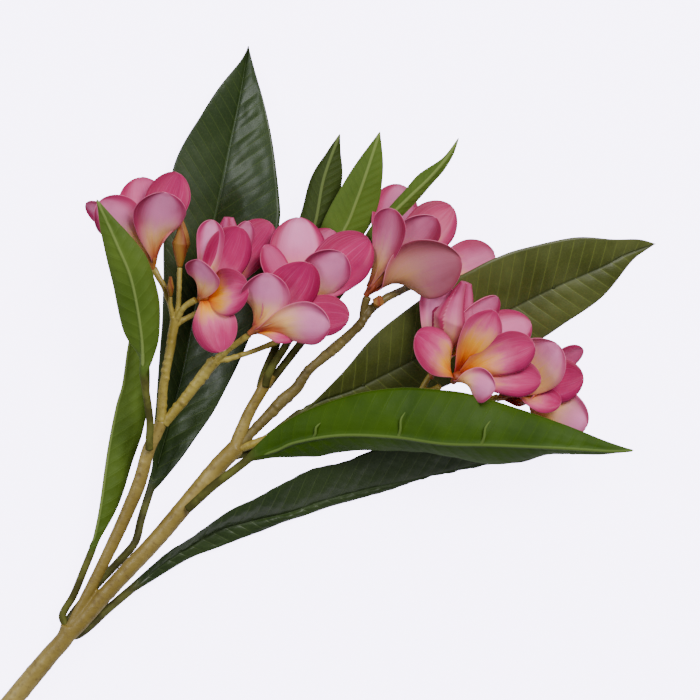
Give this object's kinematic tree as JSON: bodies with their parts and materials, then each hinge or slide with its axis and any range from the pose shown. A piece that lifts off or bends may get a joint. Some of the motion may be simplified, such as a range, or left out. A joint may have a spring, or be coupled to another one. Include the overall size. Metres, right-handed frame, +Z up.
{
  "type": "frangipani flower spray",
  "caption": "Cut frangipani spray lying on a surface: forked stem with long leaves, clusters of open pink and yellow blossoms, half-open blossoms and buds.",
  "frame": {"origin": "middle of the underside of the bounding box, on the surface that the spray lies on", "axes": "+Z up from the surface; +Y along the spray from the cut end towards the tip of the tallest leaf; +X to the right of it"},
  "size_m": [0.4715, 0.4865, 0.0958],
  "materials": {
    "stem": "satin, ochre bark",
    "twig": "satin, knobbly",
    "leaf_dark": "glossy upper side of a leathery leaf",
    "leaf_bright": "satin underside of a leathery leaf",
    "petal": "soft matte, pink with a yellow throat",
    "bud": "satin, ochre with a red flush"
  },
  "bodies": {
    "root": {"main_stem": "stem", "left_twig": "twig", "inner_twig": "twig", "right_twig": "twig", "hidden_twig": "twig", "leaf_back": "leaf_dark", "leaf_lower": "leaf_dark", "leaf_lower_left": "leaf_dark", "leaf_right_back": "leaf_dark", "leaf_top_left": "leaf_dark", "leaf_front_left": "leaf_bright", "leaf_right_front": "leaf_bright", "leaf_top_middle": "leaf_bright", "leaf_top_right": "leaf_bright", "bud_long": "bud", "bud_small": "bud", "bud_round": "bud", "bloom_left": "petal", "bloom_inner": "petal", "bloom_centre_back": "petal", "bloom_centre_front": "petal", "bloom_top": "petal", "bloom_front": "petal", "bloom_right": "petal", "half_bloom_inner": "petal", "half_bloom_front": "petal", "half_bloom_top": "petal"}
  },
  "joints": []
}
